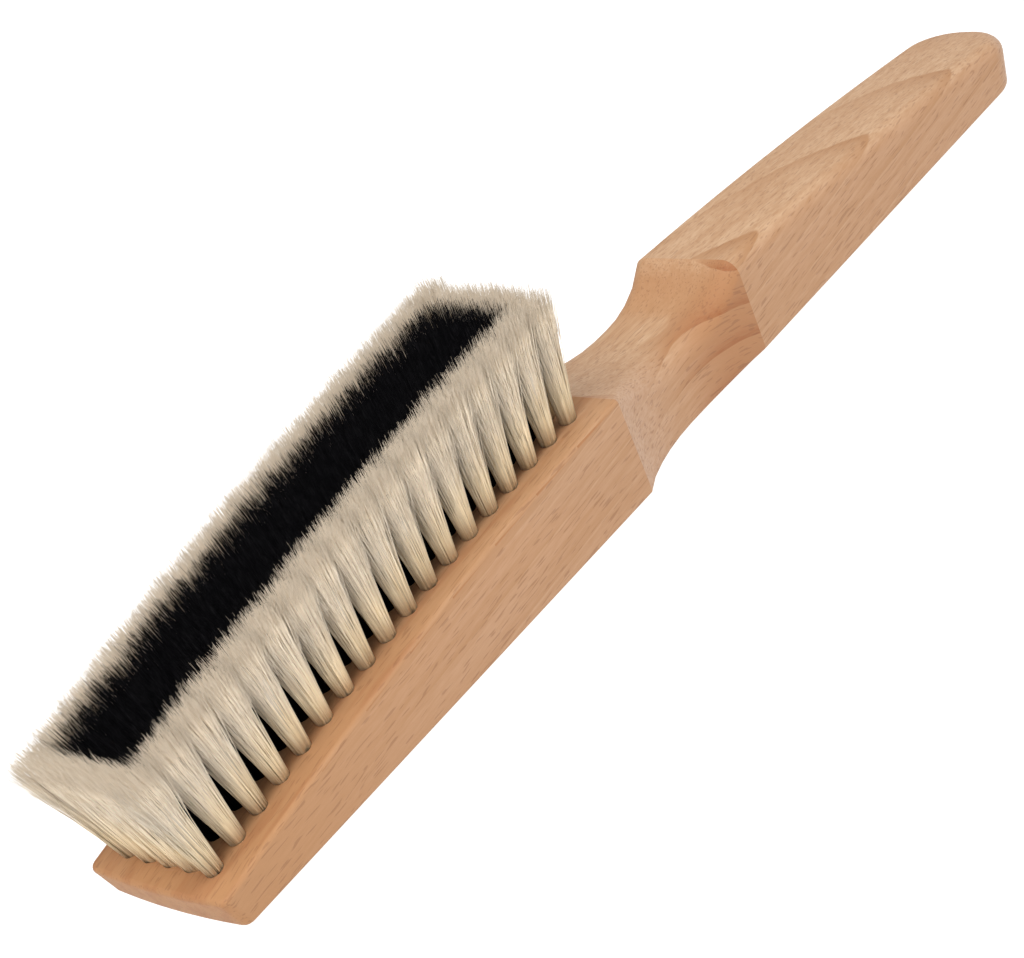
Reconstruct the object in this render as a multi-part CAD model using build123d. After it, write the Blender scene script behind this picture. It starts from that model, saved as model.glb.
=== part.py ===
"""Neck duster brush: a one-piece beech block and handle, machine-filled with hair tufts.

Frame: millimetres, +Z up. The origin is on the flat back, midway along the bristle
block. +X runs from the nose of the block to the tip of the handle, and the hair
stands up along +Z. Apart from the sanded nose, the brush is symmetric about Y = 0.

A tuft is a bundle of hair folded over a flat metal anchor. The anchor is driven into
a blind hole of the block, and its two ends bite into the wood beside the hole.
"""

from build123d import *

import os
from math import atan2, cos, hypot, pi, radians, sin, sqrt, tan

# Bristle block
BLOCK_LENGTH = 108.5
BLOCK_WIDTH = 30.0
NOSE_HEIGHT = 6.2
HEEL_HEIGHT = 18.5
FACE_ARCH = 2.0  # rise of the bristle face above the straight line from nose to heel
NOSE_BULGE = 0.8
NOSE_SKEW = 0.8  # the nose's +Y corner is sanded back this much further than its -Y corner
NOSE_UNDERCUT_DEG = 21.0
NOSE_CORNER_RADIUS = 1.6
FACE_EDGE_RADIUS = 0.8
BACK_EDGE_RADIUS = 0.6

# Neck: a scoop over the top and a cove on each side
NECK_LENGTH = 42.0
NECK_HEIGHT = 14.0  # at the bottom of the scoop
NECK_WIDTH = 21.2
SCOOP_FROM_BLOCK = 29.5  # from the heel to the bottom of the scoop
COVE_FROM_BLOCK = 20.0  # from the heel to the narrowest place
NECK_TOP_RADIUS = 5.0
NECK_BACK_RADIUS = 1.4
NECK_LIP = 0.2  # the small step where the scoop and coves start, at both ends
NECK_STRIPS = 11

# Handle: straight sides, with the top falling in a slow curve towards the tip
HANDLE_LENGTH = 100.2
HANDLE_WIDTH = 22.4  # at the shoulder
TIP_WIDTH = 20.8
SHOULDER_HEIGHT = 18.4
TIP_HEIGHT = 8.8
HANDLE_ARCH = 1.0
HANDLE_TOP_RADIUS = 3.0
HANDLE_BACK_RADIUS = 1.0
TIP_BULGE = 2.2
TIP_UNDERCUT_DEG = 14.0
TIP_CORNER_RADIUS = 9.6

# Tuft layout on the bristle face
TUFT_COUNT_ALONG = 18
TUFT_COUNT_ACROSS = 5
PITCH_ALONG = 5.72
PITCH_ACROSS = 4.48
NOSE_MARGIN = 5.2  # from the nose to the first cross row
HOLE_DIAMETER = 3.8
HOLE_DEPTH = 4.6
HOLE_SIDE_COUNT = 6  # the real hole is round: flats around it keep the facets few

# Hair
HAIR_HEIGHT = 22.8  # straight up from the bristle face to the trimmed ends
END_SPLAY = 2.0  # how far the end tufts lean outward along X at the trimmed ends
SIDE_SPLAY = 1.9  # how far the outer rows lean outward along Y at the trimmed ends
ROOT_CLEARANCE = 0.07  # between the hair and the wall and floor of its hole
FOLD_THICKNESS = 0.5  # where the bundle turns round under its anchor
LOCK_INSET = 0.66  # from the tuft's axis to a lock's axis, along X and Y, at the fold
LOCK_SPREAD = 1.75  # the same at the trimmed ends
LOCK_ROOT_WIDTH = 0.86
LOCK_TIP_WIDTH = 1.3

# Flat metal anchors
ANCHOR_THICKNESS = 0.35
ANCHOR_HEIGHT = 1.7
ANCHOR_BITE = 0.4  # how far each end goes into the wood at a corner of the hole
ANCHOR_CLEARANCE = 0.05  # between the anchor's lower edge and the fold of hair

NOSE_X = -BLOCK_LENGTH / 2
HEEL_X = BLOCK_LENGTH / 2
SHOULDER_X = HEEL_X + NECK_LENGTH
TIP_X = SHOULDER_X + HANDLE_LENGTH
ROOT_DEPTH = HOLE_DEPTH - ROOT_CLEARANCE
HOLE_REACH = HOLE_DIAMETER / 2 / cos(pi / HOLE_SIDE_COUNT)  # to the corners, two of them on X
OVERRUN = 6.0  # how far a cutting profile runs past the wood


def arch_through(start, end, rise):
    """The circle through two (x, z) points that rises above their chord at its middle."""
    chord = hypot(end[0] - start[0], end[1] - start[1])
    radius = chord**2 / (8 * rise) + rise / 2
    tilt = atan2(end[1] - start[1], end[0] - start[0])
    drop = radius - rise
    centre_x = (start[0] + end[0]) / 2 + drop * sin(tilt)
    centre_z = (start[1] + end[1]) / 2 - drop * cos(tilt)
    return centre_x, centre_z, radius


FACE_ARC = arch_through((NOSE_X, NOSE_HEIGHT), (HEEL_X, HEEL_HEIGHT), FACE_ARCH)
HANDLE_ARC = arch_through((SHOULDER_X, SHOULDER_HEIGHT), (TIP_X, TIP_HEIGHT), HANDLE_ARCH)


def height_on(arc, x):
    centre_x, centre_z, radius = arc
    return centre_z + sqrt(radius**2 - (x - centre_x) ** 2)


def profile_under(arc, x_from, x_to):
    """A plate in the XZ plane from the flat back up to an arc."""
    middle = (x_from + x_to) / 2
    points = [(x, height_on(arc, x)) for x in (x_from, middle, x_to)]
    top = ThreePointArc(*points)
    sides = Polyline(points[2], (x_to, 0), (x_from, 0), points[0])
    return Plane.XZ * make_face([top, sides])


def swept_across(face, width):
    """A plate in the XZ plane thickened to both sides of Y = 0."""
    return extrude(face, amount=width / 2, both=True)


def leaning_plate(plan, height, undercut_deg, towards):
    """A plan on the flat back raised to a height, with its end overhanging towards -X or +X."""
    lean = tan(radians(undercut_deg))
    slant = height / cos(radians(undercut_deg))
    return extrude(plan, amount=slant, dir=(towards * lean, 0, 1))


def block():
    """The wedge-shaped bristle block, with a bulged, undercut nose."""
    nose_x = NOSE_X + NOSE_HEIGHT * tan(radians(NOSE_UNDERCUT_DEG))
    far_x = HEEL_X + HEEL_HEIGHT + OVERRUN
    half = BLOCK_WIDTH / 2
    left, right = (nose_x + NOSE_SKEW, half), (nose_x, -half)
    nose = ThreePointArc(left, (nose_x + NOSE_SKEW / 2 - NOSE_BULGE, 0), right)
    rest = Polyline(right, (far_x, -half), (far_x, half), left)
    plan = make_face([nose, rest])
    plan = fillet(plan.vertices().sort_by(Axis.X)[:2], NOSE_CORNER_RADIUS)
    plate = leaning_plate(plan, HEEL_HEIGHT + OVERRUN, NOSE_UNDERCUT_DEG, -1)
    profile = profile_under(FACE_ARC, NOSE_X - OVERRUN, HEEL_X)
    solid = plate & swept_across(profile, 2 * BLOCK_WIDTH)
    return softened(solid, HEEL_X, FACE_EDGE_RADIUS, BACK_EDGE_RADIUS)


def softened(solid, joint_x, top_radius, back_radius):
    """A solid with its top and back edges rounded, except at the plane where the wood carries on."""
    arched_top = solid.faces().filter_by(GeomType.CYLINDER).sort_by(SortBy.AREA)[-1]
    solid = fillet(away_from(arched_top.edges(), joint_x), top_radius)
    flat_back = solid.faces().sort_by(Axis.Z)[0]
    return fillet(away_from(flat_back.edges(), joint_x), back_radius)


def away_from(edges, x):
    """The edges that don't lie in the plane at x."""
    return [edge for edge in edges if abs(edge.center().X - x) > 0.01]


def two_arc_dip(x, span, lowest, ends, bottom):
    """Height at x of a dip between two ends, made of two arcs that meet at its lowest point."""
    if x <= lowest:
        run, rise = lowest, ends[0] - bottom
    else:
        run, rise = span - lowest, ends[1] - bottom
    radius = (run**2 + rise**2) / (2 * rise)
    return bottom + radius - sqrt(radius**2 - (x - lowest) ** 2)


def neck_section(x):
    """The neck's rounded section at a distance from the heel."""
    heights = (HEEL_HEIGHT - NECK_LIP, SHOULDER_HEIGHT - NECK_LIP)
    widths = (BLOCK_WIDTH - 2 * NECK_LIP, HANDLE_WIDTH - 2 * NECK_LIP)
    height = two_arc_dip(x, NECK_LENGTH, SCOOP_FROM_BLOCK, heights, NECK_HEIGHT)
    width = two_arc_dip(x, NECK_LENGTH, COVE_FROM_BLOCK, widths, NECK_WIDTH)
    share = x / NECK_LENGTH
    swell = sin(pi * share)
    top = FACE_EDGE_RADIUS + (HANDLE_TOP_RADIUS - FACE_EDGE_RADIUS) * share
    top += (NECK_TOP_RADIUS - top) * swell
    back = BACK_EDGE_RADIUS + (HANDLE_BACK_RADIUS - BACK_EDGE_RADIUS) * share
    back += (NECK_BACK_RADIUS - back) * swell
    corners = [(-width / 2, 0), (width / 2, 0), (width / 2, height), (-width / 2, height)]
    outline = FilletPolyline(*corners, radius=(back, back, top, top), close=True)
    return Plane(origin=(HEEL_X + x, 0, 0), x_dir=(0, 1, 0), z_dir=(1, 0, 0)) * make_face(outline)


def neck():
    """The neck, skinned with straight strips between its sections, so that its facets stay few."""
    sections = [neck_section(NECK_LENGTH * step / NECK_STRIPS) for step in range(NECK_STRIPS + 1)]
    return loft(sections, ruled=True)


def handle():
    """The grip, thinning to a blunt rounded tip that is undercut like the nose."""
    end_x = TIP_X - TIP_HEIGHT * tan(radians(TIP_UNDERCUT_DEG)) - TIP_BULGE
    start_x = SHOULDER_X - SHOULDER_HEIGHT
    taper = (HANDLE_WIDTH - TIP_WIDTH) / 2 / HANDLE_LENGTH
    end_half = TIP_WIDTH / 2
    start_half = end_half + taper * (end_x - start_x)
    tip = ThreePointArc((end_x, -end_half), (end_x + TIP_BULGE, 0), (end_x, end_half))
    rest = Polyline((end_x, end_half), (start_x, start_half), (start_x, -start_half), (end_x, -end_half))
    plan = make_face([tip, rest])
    plan = fillet(plan.vertices().sort_by(Axis.X)[-2:], TIP_CORNER_RADIUS)
    plate = leaning_plate(plan, SHOULDER_HEIGHT + OVERRUN, TIP_UNDERCUT_DEG, 1)
    profile = profile_under(HANDLE_ARC, SHOULDER_X, TIP_X + OVERRUN)
    solid = plate & swept_across(profile, 2 * HANDLE_WIDTH)
    return softened(solid, SHOULDER_X, HANDLE_TOP_RADIUS, HANDLE_BACK_RADIUS)


def tuft_plane(along, across):
    """The plane at a tuft's hole mouth, with Z along the hair, and the slant length of the hair."""
    x = NOSE_X + NOSE_MARGIN + PITCH_ALONG * along
    row = across - (TUFT_COUNT_ACROSS - 1) / 2
    y = PITCH_ACROSS * row
    z = height_on(FACE_ARC, x)
    centre_x, centre_z, _ = FACE_ARC
    middle = (TUFT_COUNT_ALONG - 1) / 2
    lean_x = HAIR_HEIGHT * (x - centre_x) / (z - centre_z)
    lean_x += END_SPLAY * (along - middle) / middle
    lean_y = SIDE_SPLAY * row / ((TUFT_COUNT_ACROSS - 1) / 2)
    direction = Vector(lean_x, lean_y, HAIR_HEIGHT)
    plane = Plane(origin=(x, y, z), x_dir=(HAIR_HEIGHT, 0, -lean_x), z_dir=direction)
    return plane, direction.length


def socket(plane):
    """The blind hole that a tuft is driven into, run a little past the face."""
    across_flats = RegularPolygon(HOLE_DIAMETER / 2, HOLE_SIDE_COUNT, major_radius=False)
    drill = extrude(across_flats, amount=HOLE_DEPTH + OVERRUN)
    return plane * Pos(0, 0, -HOLE_DEPTH) * drill


def anchor(plane):
    """The flat anchor across the fold of hair, its two ends pressed into the wood."""
    length = 2 * (HOLE_REACH + ANCHOR_BITE)
    strip = Box(length, ANCHOR_THICKNESS, ANCHOR_HEIGHT, align=(Align.CENTER, Align.CENTER, Align.MIN))
    return plane * Pos(0, 0, FOLD_THICKNESS + ANCHOR_CLEARANCE - ROOT_DEPTH) * strip


def square(centre_x, centre_y, width, z):
    """A square's corners, anticlockwise from its -X, -Y corner."""
    half = width / 2
    return [(centre_x + i * half, centre_y + j * half, z) for i, j in ((-1, -1), (1, -1), (1, 1), (-1, 1))]


def walls(lower, upper):
    """The flat four-sided outlines that join two squares."""
    return [[lower[i], lower[(i + 1) % 4], upper[(i + 1) % 4], upper[i]] for i in range(4)]


def tuft(plane, length):
    """A bundle folded under its anchor: two locks stand up on each side of it.

    The fold is a flat slab, and the four-sided locks rise from its corners to the trimmed end.
    """
    fold_width = 2 * LOCK_INSET + LOCK_ROOT_WIDTH
    fold_z = FOLD_THICKNESS - ROOT_DEPTH
    bottom = square(0, 0, fold_width, -ROOT_DEPTH)
    outlines = [bottom] + walls(bottom, square(0, 0, fold_width, fold_z))
    cross = []
    for turn, (side_x, side_y) in enumerate(((-1, -1), (1, -1), (1, 1), (-1, 1))):
        root = square(side_x * LOCK_INSET, side_y * LOCK_INSET, LOCK_ROOT_WIDTH, fold_z)
        end = square(side_x * LOCK_SPREAD, side_y * LOCK_SPREAD, LOCK_TIP_WIDTH, length)
        outlines += walls(root, end) + [end]
        cross += [root[(turn + offset) % 4] for offset in (3, 2, 1)]
    outlines.append(cross)
    faces = [make_face(Polyline(*outline, close=True)).face() for outline in outlines]
    return plane * Solid(Shell(faces))


def row_of(places):
    """The tufts and the anchors of one row, each tuft and each anchor its own solid."""
    planes = [tuft_plane(along, across) for along, across in places]
    tufts = Compound(children=[tuft(plane, length) for plane, length in planes])
    anchors = Compound(children=[anchor(plane) for plane, _ in planes])
    return tufts, anchors


def wooden_body(planes):
    """Block, neck and handle from one piece of beech, drilled for every tuft."""
    blank = block().fuse(neck(), handle())
    return blank.cut(*[socket(plane) for plane in planes])


last = TUFT_COUNT_ALONG - 1
far = TUFT_COUNT_ACROSS - 1
inner = range(1, last)
rows = {
    "white_right_row": [(along, 0) for along in range(TUFT_COUNT_ALONG)],
    "white_left_row": [(along, far) for along in range(TUFT_COUNT_ALONG)],
    "white_nose_row": [(0, across) for across in range(1, far)],
    "white_heel_row": [(last, across) for across in range(1, far)],
    "black_right_row": [(along, 1) for along in inner],
    "black_middle_row": [(along, 2) for along in inner],
    "black_left_row": [(along, 3) for along in inner],
}

nodes = {}
all_planes = []
for name, places in rows.items():
    nodes[name + "_tufts"], nodes[name + "_anchors"] = row_of(places)
    all_planes += [tuft_plane(along, across)[0] for along, across in places]
nodes["wooden_body"] = wooden_body(all_planes)

os.makedirs("parts", exist_ok=True)
for name, shape in nodes.items():
    export_step(shape, f"parts/{name}.step")
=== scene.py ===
"""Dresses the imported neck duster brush: beech, pale and dark hair, anchors and a plain stage.

Lengths are in metres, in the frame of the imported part: the flat back lies on Z = 0, +X
runs from the nose to the tip of the handle, and the hair stands up along +Z.
"""

from collections import namedtuple
from math import cos, radians, sin

import bmesh
import bpy
import numpy as np
from mathutils import Matrix, Vector


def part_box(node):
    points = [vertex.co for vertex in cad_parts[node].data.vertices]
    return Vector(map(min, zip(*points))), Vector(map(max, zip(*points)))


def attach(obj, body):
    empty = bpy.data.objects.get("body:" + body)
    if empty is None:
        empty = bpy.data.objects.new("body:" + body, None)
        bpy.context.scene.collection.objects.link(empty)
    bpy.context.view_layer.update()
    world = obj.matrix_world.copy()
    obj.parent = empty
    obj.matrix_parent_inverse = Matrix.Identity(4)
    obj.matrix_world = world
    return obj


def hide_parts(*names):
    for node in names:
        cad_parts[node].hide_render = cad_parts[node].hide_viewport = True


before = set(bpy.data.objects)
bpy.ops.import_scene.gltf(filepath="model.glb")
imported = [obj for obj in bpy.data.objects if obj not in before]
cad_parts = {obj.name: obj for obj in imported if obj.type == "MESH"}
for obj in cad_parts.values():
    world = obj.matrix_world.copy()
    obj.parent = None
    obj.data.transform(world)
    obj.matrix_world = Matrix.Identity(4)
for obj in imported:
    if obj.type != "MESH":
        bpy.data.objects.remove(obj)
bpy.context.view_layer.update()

bl_info = {
    "name": "Neck duster brush",
    "version": (1, 0, 0),
    "blender": (4, 5, 0),
    "location": "3D View > Sidebar > Brush",
    "description": "Beech, hair and stage for the packed neck duster brush",
    "category": "Object",
}

MM = 0.001
BODY = "root"
WOOD_NODE = "wooden_body"
WHITE_ROWS = ("white_right_row", "white_left_row", "white_nose_row", "white_heel_row")
BLACK_ROWS = ("black_right_row", "black_middle_row", "black_left_row")

HEEL = 54.25 * MM  # where the block meets the neck
SHOULDER = 96.25 * MM  # where the neck meets the handle


# ---------------------------------------------------------------- properties


def size(name, default, description):
    """A length."""
    return bpy.props.FloatProperty(
        name=name, description=description, default=default, unit="LENGTH", precision=5
    )


def angle(name, degrees, description):
    """An angle, given in degrees and kept in radians."""
    return bpy.props.FloatProperty(
        name=name, description=description, default=radians(degrees), subtype="ANGLE"
    )


def share(name, default, description):
    """A number from 0 to 1."""
    return bpy.props.FloatProperty(
        name=name, description=description, default=default, subtype="FACTOR", min=0, max=1
    )


def count(name, default, description):
    """A whole number."""
    return bpy.props.IntProperty(name=name, description=description, default=default, min=0)


def colour(name, default, description):
    """A colour."""
    return bpy.props.FloatVectorProperty(
        name=name, description=description, default=default, subtype="COLOR", min=0, max=1
    )


# ---------------------------------------------------------------- nodes


def add(tree, kind, inputs=(), **settings):
    """One node, with each named or numbered input set to a value or linked to a socket."""
    node = tree.nodes.new(kind)
    for name, value in settings.items():
        setattr(node, name, value)
    for key, value in dict(inputs).items():
        if isinstance(value, bpy.types.NodeSocket):
            tree.links.new(value, node.inputs[key])
        else:
            node.inputs[key].default_value = value
    return node


def calc(tree, operation, *values):
    """A Math node's output."""
    return add(tree, "ShaderNodeMath", dict(enumerate(values)), operation=operation).outputs[0]


def vector_calc(tree, operation, *values):
    """A Vector Math node's output. SCALE takes a vector and a number."""
    keys = (0, "Scale") if operation == "SCALE" else range(len(values))
    node = add(tree, "ShaderNodeVectorMath", dict(zip(keys, values)), operation=operation)
    return node.outputs["Value" if operation == "LENGTH" else "Vector"]


def split(tree, vector):
    """The X, Y and Z of a vector."""
    return add(tree, "ShaderNodeSeparateXYZ", {0: vector}).outputs


def joined(tree, x, y, z):
    """A vector from its X, Y and Z."""
    return add(tree, "ShaderNodeCombineXYZ", {0: x, 1: y, 2: z}).outputs[0]


def fit(tree, value, low, high, to_low=0.0, to_high=1.0, smooth=False):
    """A value mapped from one range to another, and kept inside it."""
    node = add(
        tree,
        "ShaderNodeMapRange",
        {0: value, 1: low, 2: high, 3: to_low, 4: to_high},
        interpolation_type="SMOOTHSTEP" if smooth else "LINEAR",
    )
    return node.outputs[0]


def mixed(tree, amount, low, high):
    """Two numbers mixed."""
    node = add(tree, "ShaderNodeMix", {0: amount, 2: low, 3: high}, data_type="FLOAT")
    return node.outputs[0]


def mixed_vector(tree, amount, low, high):
    """Two vectors mixed."""
    node = add(tree, "ShaderNodeMix", {0: amount, 4: low, 5: high}, data_type="VECTOR")
    return node.outputs[1]


def mixed_colour(tree, amount, low, high, blend="MIX"):
    """Two colours mixed, or blended in another way."""
    node = add(
        tree, "ShaderNodeMix", {0: amount, 6: low, 7: high}, data_type="RGBA", blend_type=blend
    )
    return node.outputs[2]


def opaque(rgb):
    """A colour with its alpha."""
    return (*rgb, 1.0)


def noise(tree, vector, scale, detail):
    """A Noise texture's outputs."""
    inputs = {"Vector": vector, "Scale": scale, "Detail": detail}
    return add(tree, "ShaderNodeTexNoise", inputs).outputs


def wobble(tree, vector, scale, detail, reach):
    """A random shift that changes smoothly from place to place, half of reach at most."""
    drift = noise(tree, vector, scale, detail)["Color"]
    drift = vector_calc(tree, "SUBTRACT", drift, (0.5, 0.5, 0.5))
    return vector_calc(tree, "SCALE", drift, reach)


def new_group(name, kind, inputs, outputs):
    """An empty node group with these sockets: (name, type, default) in, (name, type) out."""
    tree = bpy.data.node_groups.new(name, kind)
    for label, sort, default in inputs:
        socket = tree.interface.new_socket(label, in_out="INPUT", socket_type=sort)
        if default is not None:
            socket.default_value = default
    for label, sort in outputs:
        tree.interface.new_socket(label, in_out="OUTPUT", socket_type=sort)
    return tree, add(tree, "NodeGroupInput").outputs, add(tree, "NodeGroupOutput")


def placed(tree, group, inputs):
    """The outputs of a node group placed in another tree."""
    kind = "GeometryNodeGroup" if tree.bl_idname == "GeometryNodeTree" else "ShaderNodeGroup"
    return add(tree, kind, inputs, node_tree=group).outputs


def new_material(name):
    """A material with an empty tree, its output and a Principled shader."""
    material = bpy.data.materials.new(name)
    material.use_nodes = True
    tree = material.node_tree
    tree.nodes.clear()
    shader = add(tree, "ShaderNodeBsdfPrincipled")
    add(tree, "ShaderNodeOutputMaterial", {"Surface": shader.outputs[0]})
    return material, tree, shader


def finished(piece, slot, *nodes):
    """Attaches a finished piece to the body and hides the parts it stands for; slot is not used.
    """
    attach(piece, BODY)
    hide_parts(*nodes)


# ---------------------------------------------------------------- settings


class BeechSettings(bpy.types.PropertyGroup):
    pale: colour("Pale wood", (0.58, 0.384, 0.238), "Early wood")
    deep: colour("Deep wood", (0.392, 0.204, 0.096), "Late wood, at the end of a ring")
    side: colour("Side wood", (0.48, 0.276, 0.164), "The pinker wood of the sides")
    warm: colour("Warm wood", (0.432, 0.22, 0.1), "Wood that faces a little to the nose")
    fleck: colour("Flecks", (0.208, 0.092, 0.048), "Rays and pores cut along the grain")
    end_grain: colour("End grain", (0.4, 0.188, 0.084), "Wood cut across the grain")
    end_late: colour("Late end grain", (0.32, 0.12, 0.048), "Late wood cut across the grain")
    chalky: colour("Sanded end grain", (0.53, 0.365, 0.265), "End grain sanded towards the tip")
    ring_spacing: size("Ring spacing", 6.4 * MM, "From one growth ring to the next")
    ring_radius: size("Ring radius", 54 * MM, "Of the curve of the rings")
    ring_level: size("Ring level", 3.5 * MM, "Of a ring above the back, at the shoulder")
    pith_inset: size("Pith inset", 1.0 * MM, "Of the pith line from the right side of the block")
    grain_rise: share("Grain rise", 0.095, "How steeply the grain climbs towards the tip")
    heel: size("Heel", HEEL, "Where the block meets the neck")
    shoulder: size("Shoulder", SHOULDER, "Where the neck meets the handle")
    neck_start: size("Neck colour", 70 * MM, "Where the neck's redder wood begins")
    neck_bend: size("Neck bend", 22 * MM, "How far from the shoulder the neck's rings bend up")
    neck_climb: size("Neck climb", 5.2 * MM, "How far the neck's rings bend up")
    hole_radius: size("Hole radius", 1.52 * MM, "Of the round hole that a tuft fills")
    crease: angle("Crease", 12, "Normals closer than this are evened out")
    fleck_length: size("Fleck length", 3.6 * MM, "Room for one fleck along the grain")
    fleck_width: size("Fleck width", 0.32 * MM, "Room for one fleck across the grain")
    roughness: share("Roughness", 0.6, "Sanded, unvarnished wood")
    gloss: share("Gloss", 0.2, "How strongly the wood reflects")


class AnchorSettings(bpy.types.PropertyGroup):
    brass: colour("Brass", (0.72, 0.52, 0.22), "Bright strip")
    dull: colour("Dull brass", (0.52, 0.36, 0.14), "Strip that has dulled")


class HairSettings(bpy.types.PropertyGroup):
    hairs: count("Hairs in a tuft", 400, "Strands in each tuft")
    ends: count("Fine ends in a tuft", 425, "Thin strands at the trimmed end of a pale tuft")
    hair_radius: size("Hair radius", 0.08 * MM, "At the root of a hair")
    end_radius: size("End radius", 0.042 * MM, "Of a fine end")
    mouth_radius: size("Mouth radius", 1.3 * MM, "Of a bundle where it leaves its hole")
    hole_depth: size("Hole depth", 4.2 * MM, "From the fold of a bundle to the bristle face")
    buried: share("Buried", 0.06, "Share of its length by which a hair reaches into its hole")
    fringe: size("Fringe", 0.8 * MM, "How unevenly the hair ends")
    wave: size("Wave", 0.4 * MM, "How far the hair wanders")
    clumps: count("Clumps", 13, "Points that a tuft's ends gather into")
    clumping: share("Clumping", 0.36, "How much the ends gather into points")
    # Warmer and a little darker than the pale hair: partly the hair's own colour at the root,
    # partly painted shade near the wood
    pale_root_and_shade: colour("Pale root and shade", (0.94, 0.78, 0.53), "Pale hair at the wood")
    pale_hair: colour("Pale hair", (0.985, 0.88, 0.73), "Pale hair")
    pale_tip: colour("Pale tip", (0.61, 0.52, 0.41), "Pale hair at its end")
    pale_roughness: share("Pale roughness", 0.65, "Of the pale hair")
    pale_gloss: share("Pale gloss", 0.12, "How strongly the pale hair reflects")
    dark_hair: colour("Dark hair", (0.0016, 0.0015, 0.002), "Dark hair")
    dark_glint: colour("Dark glint", (0.016, 0.0152, 0.017), "The lightest of the dark hair")
    dark_roughness: share("Dark roughness", 0.5, "Of the dark hair")
    dark_gloss: share("Dark gloss", 0.02, "How strongly the dark hair reflects")
    seed: count("Seed", 7, "Of all the hair")


class StageSettings(bpy.types.PropertyGroup):
    azimuth: angle("Azimuth", -131.690, "Of the camera")
    elevation: angle("Elevation", 28.218, "Of the camera")
    roll: angle("Roll", -22.681, "Of the camera")
    aim: bpy.props.FloatVectorProperty(
        name="Aim",
        description="The point in the middle of the view",
        default=(42.062 * MM, 2.094 * MM, 10.0 * MM),
        subtype="TRANSLATION",
        precision=5,
    )
    distance: size("Distance", 467.471 * MM, "From the camera to its aim")
    lens: bpy.props.FloatProperty(
        name="Lens", description="Focal length in millimetres", default=100.564, unit="CAMERA"
    )
    floor: colour("Floor", (0.25, 0.25, 0.25), "Plain pale floor")
    floor_glow: share("Floor glow", 1.0, "Light that comes up through the floor")
    floor_size: size("Floor size", 6.0, "One side of the floor")
    floor_drop: size("Floor drop", 0.1 * MM, "From the flat back down to the floor")
    sky: share("Sky", 0.56, "Soft light from all round")


# ---------------------------------------------------------------- wood


def growth_rings():
    """Rings round a pith that lies above the handle: dark late wood, then a pale new ring."""
    tree, given, out = new_group(
        "Growth rings",
        "ShaderNodeTree",
        [
            ("Point", "NodeSocketVector", None),
            ("Spacing", "NodeSocketFloat", 6.4 * MM),
            ("Pith", "NodeSocketVector", None),
        ],
        [("Late wood", "NodeSocketFloat"), ("New ring", "NodeSocketFloat")],
    )
    slow = vector_calc(tree, "MULTIPLY", given["Point"], (9.0, 70.0, 70.0))
    close = vector_calc(tree, "MULTIPLY", given["Point"], (110.0, 500.0, 500.0))
    wander = wobble(tree, slow, 1.0, 1.0, 1.6 * MM)
    frayed = wobble(tree, close, 1.0, 2.0, 0.5 * MM)
    bent = vector_calc(tree, "ADD", given["Point"], vector_calc(tree, "ADD", wander, frayed))
    from_pith = vector_calc(tree, "SUBTRACT", bent, given["Pith"])
    round_pith = vector_calc(tree, "MULTIPLY", from_pith, (0.0, 1.0, 1.0))
    radius = vector_calc(tree, "LENGTH", round_pith)
    phase = calc(tree, "FRACT", calc(tree, "DIVIDE", radius, given["Spacing"]))

    # Late wood darkens slowly, then into a line that stops just before the new ring
    line = calc(tree, "MULTIPLY", calc(tree, "POWER", phase, 7.0), 0.6)
    late = calc(tree, "MULTIPLY_ADD", calc(tree, "POWER", phase, 2.0), 0.4, line)
    late = calc(tree, "MULTIPLY", late, fit(tree, phase, 0.98, 1.0, 1.0, 0.2))
    tree.links.new(late, out.inputs["Late wood"])
    tree.links.new(fit(tree, phase, 0.0, 0.08, 1.0, 0.0, smooth=True), out.inputs["New ring"])
    return tree


def long_grain():
    """Streaks, fibres and short dark flecks that run along X, and slow clouds of colour."""
    # Each pattern, how finely it repeats along X, Y and Z, and its detail
    patterns = (
        ("Fibre", (260.0, 3000.0, 3000.0), 2.0),
        ("Streak", (22.0, 900.0, 900.0), 2.0),
        ("Stripe", (45.0, 480.0, 480.0), 1.0),
        ("Cloud", (28.0, 110.0, 110.0), 2.0),
    )
    tree, given, out = new_group(
        "Long grain",
        "ShaderNodeTree",
        [
            ("Point", "NodeSocketVector", None),
            ("Fleck length", "NodeSocketFloat", 3.6 * MM),
            ("Fleck width", "NodeSocketFloat", 0.32 * MM),
        ],
        [(name, "NodeSocketFloat") for name, _, _ in patterns] + [("Fleck", "NodeSocketFloat")],
    )
    for name, stretch, detail in patterns:
        stretched = vector_calc(tree, "MULTIPLY", given["Point"], stretch)
        tree.links.new(noise(tree, stretched, 1.0, detail)[0], out.inputs[name])

    cell = joined(tree, given["Fleck length"], given["Fleck width"], given["Fleck width"])
    sway = noise(tree, given["Point"], 60.0, 1.0)["Color"]
    swayed = vector_calc(tree, "ADD", given["Point"], vector_calc(tree, "SCALE", sway, 1.5 * MM))
    spots = noise(tree, vector_calc(tree, "DIVIDE", swayed, cell), 1.0, 0.0)[0]
    tree.links.new(fit(tree, spots, 0.64, 0.71), out.inputs["Fleck"])
    return tree


def grain_point(tree, place, settings):
    """A point of the wood with its height counted from the grain, which climbs towards the
    tip and bends up at the neck."""
    climb = calc(tree, "SUBTRACT", place["X"], settings.shoulder)
    climb = calc(tree, "MULTIPLY", climb, settings.grain_rise)
    bend_end = settings.shoulder - settings.neck_bend
    bend = fit(tree, place["X"], bend_end, settings.shoulder)
    bend = calc(tree, "SUBTRACT", 1.0, calc(tree, "POWER", bend, 2.0))
    climb = calc(tree, "MULTIPLY_ADD", bend, settings.neck_climb, climb)
    return joined(tree, place["X"], place["Y"], calc(tree, "SUBTRACT", place["Z"], climb))


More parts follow.
